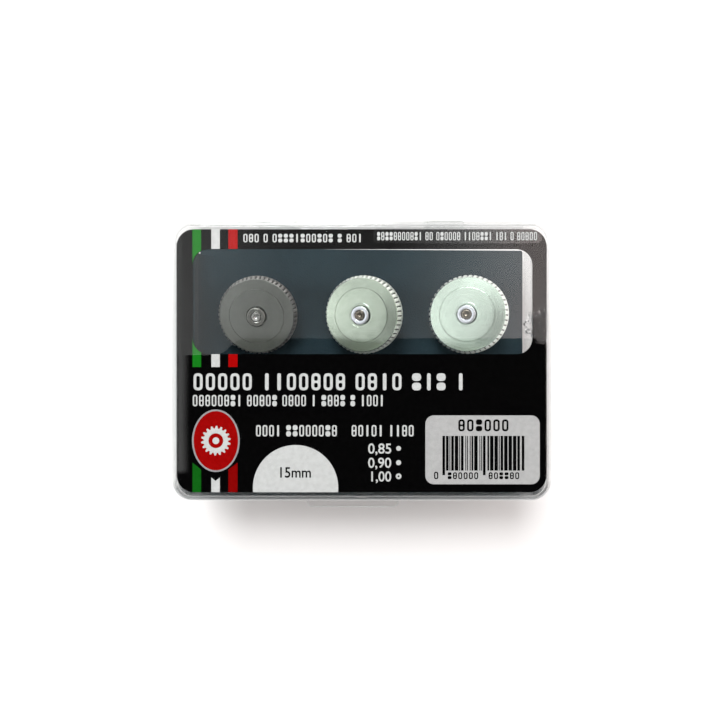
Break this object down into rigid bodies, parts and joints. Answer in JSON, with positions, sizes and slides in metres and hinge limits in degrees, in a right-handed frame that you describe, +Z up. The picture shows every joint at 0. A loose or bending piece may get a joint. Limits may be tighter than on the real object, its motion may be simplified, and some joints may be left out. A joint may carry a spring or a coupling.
{
  "type": "rivet marking wheel set",
  "caption": "Toothed steel rivet marking wheels on axle pins, standing in foam in a hinged clear plastic case with a printed card under its lid.",
  "frame": {"origin": "middle of the closed case's footprint, on the surface it stands on", "axes": "+X to the right along the case's long side, +Y towards the hinge, +Z up out of the lid"},
  "size_m": [0.0664, 0.0546, 0.0181],
  "materials": {
    "clear_tray": "clear, glossy",
    "clear_lid": "clear, glossy",
    "card": "printed, semi-gloss",
    "clear_film": "clear film",
    "foam": "matt, fine cells",
    "dark_steel": "satin",
    "bright_steel": "satin",
    "polished_steel": "turned, polished"
  },
  "bodies": {
    "tray": {"case_base": "clear_tray", "foam_pad": "foam"},
    "lid": {"case_lid": "clear_lid", "printed_card": "card", "clear_sticker": "clear_film"},
    "axle_85": {"axle_pin_85": "polished_steel"},
    "axle_90": {"axle_pin_90": "polished_steel"},
    "axle_100": {"axle_pin_100": "polished_steel"},
    "wheel_85": {"toothed_disc_85": "dark_steel", "front_flange_85": "dark_steel", "rear_flange_85": "dark_steel", "hub_bush_85": "polished_steel"},
    "wheel_90": {"toothed_disc_90": "bright_steel", "front_flange_90": "bright_steel", "rear_flange_90": "bright_steel", "hub_bush_90": "polished_steel"},
    "wheel_100": {"toothed_disc_100": "bright_steel", "front_flange_100": "bright_steel", "rear_flange_100": "bright_steel", "hub_bush_100": "polished_steel"}
  },
  "joints": [
    {"name": "lid_hinge", "type": "hinge", "parent": "tray", "child": "lid", "pos_m": [0, 0.0261, 0.0092], "axis": [-1, 0, 0], "range_deg": [0, 180]},
    {"name": "lift_85", "type": "slide", "parent": "tray", "child": "axle_85", "axis": [0.0391, -0.2215, 0.9744], "range_m": [0, 0.004]},
    {"name": "lift_90", "type": "slide", "parent": "tray", "child": "axle_90", "axis": [-0.2801, -0.1306, 0.9511], "range_m": [0, 0.004]},
    {"name": "lift_100", "type": "slide", "parent": "tray", "child": "axle_100", "axis": [-0.3368, -0.0594, 0.9397], "range_m": [0, 0.004]},
    {"name": "spin_85", "type": "hinge", "parent": "axle_85", "child": "wheel_85", "pos_m": [-0.02, 0.00885, 0.00803], "axis": [0.0391, -0.2215, 0.9744], "continuous": true},
    {"name": "spin_90", "type": "hinge", "parent": "axle_90", "child": "wheel_90", "pos_m": [0.00045, 0.00885, 0.00856], "axis": [-0.2801, -0.1306, 0.9511], "continuous": true},
    {"name": "spin_100", "type": "hinge", "parent": "axle_100", "child": "wheel_100", "pos_m": [0.02055, 0.00885, 0.00877], "axis": [-0.3368, -0.0594, 0.9397], "continuous": true}
  ]
}
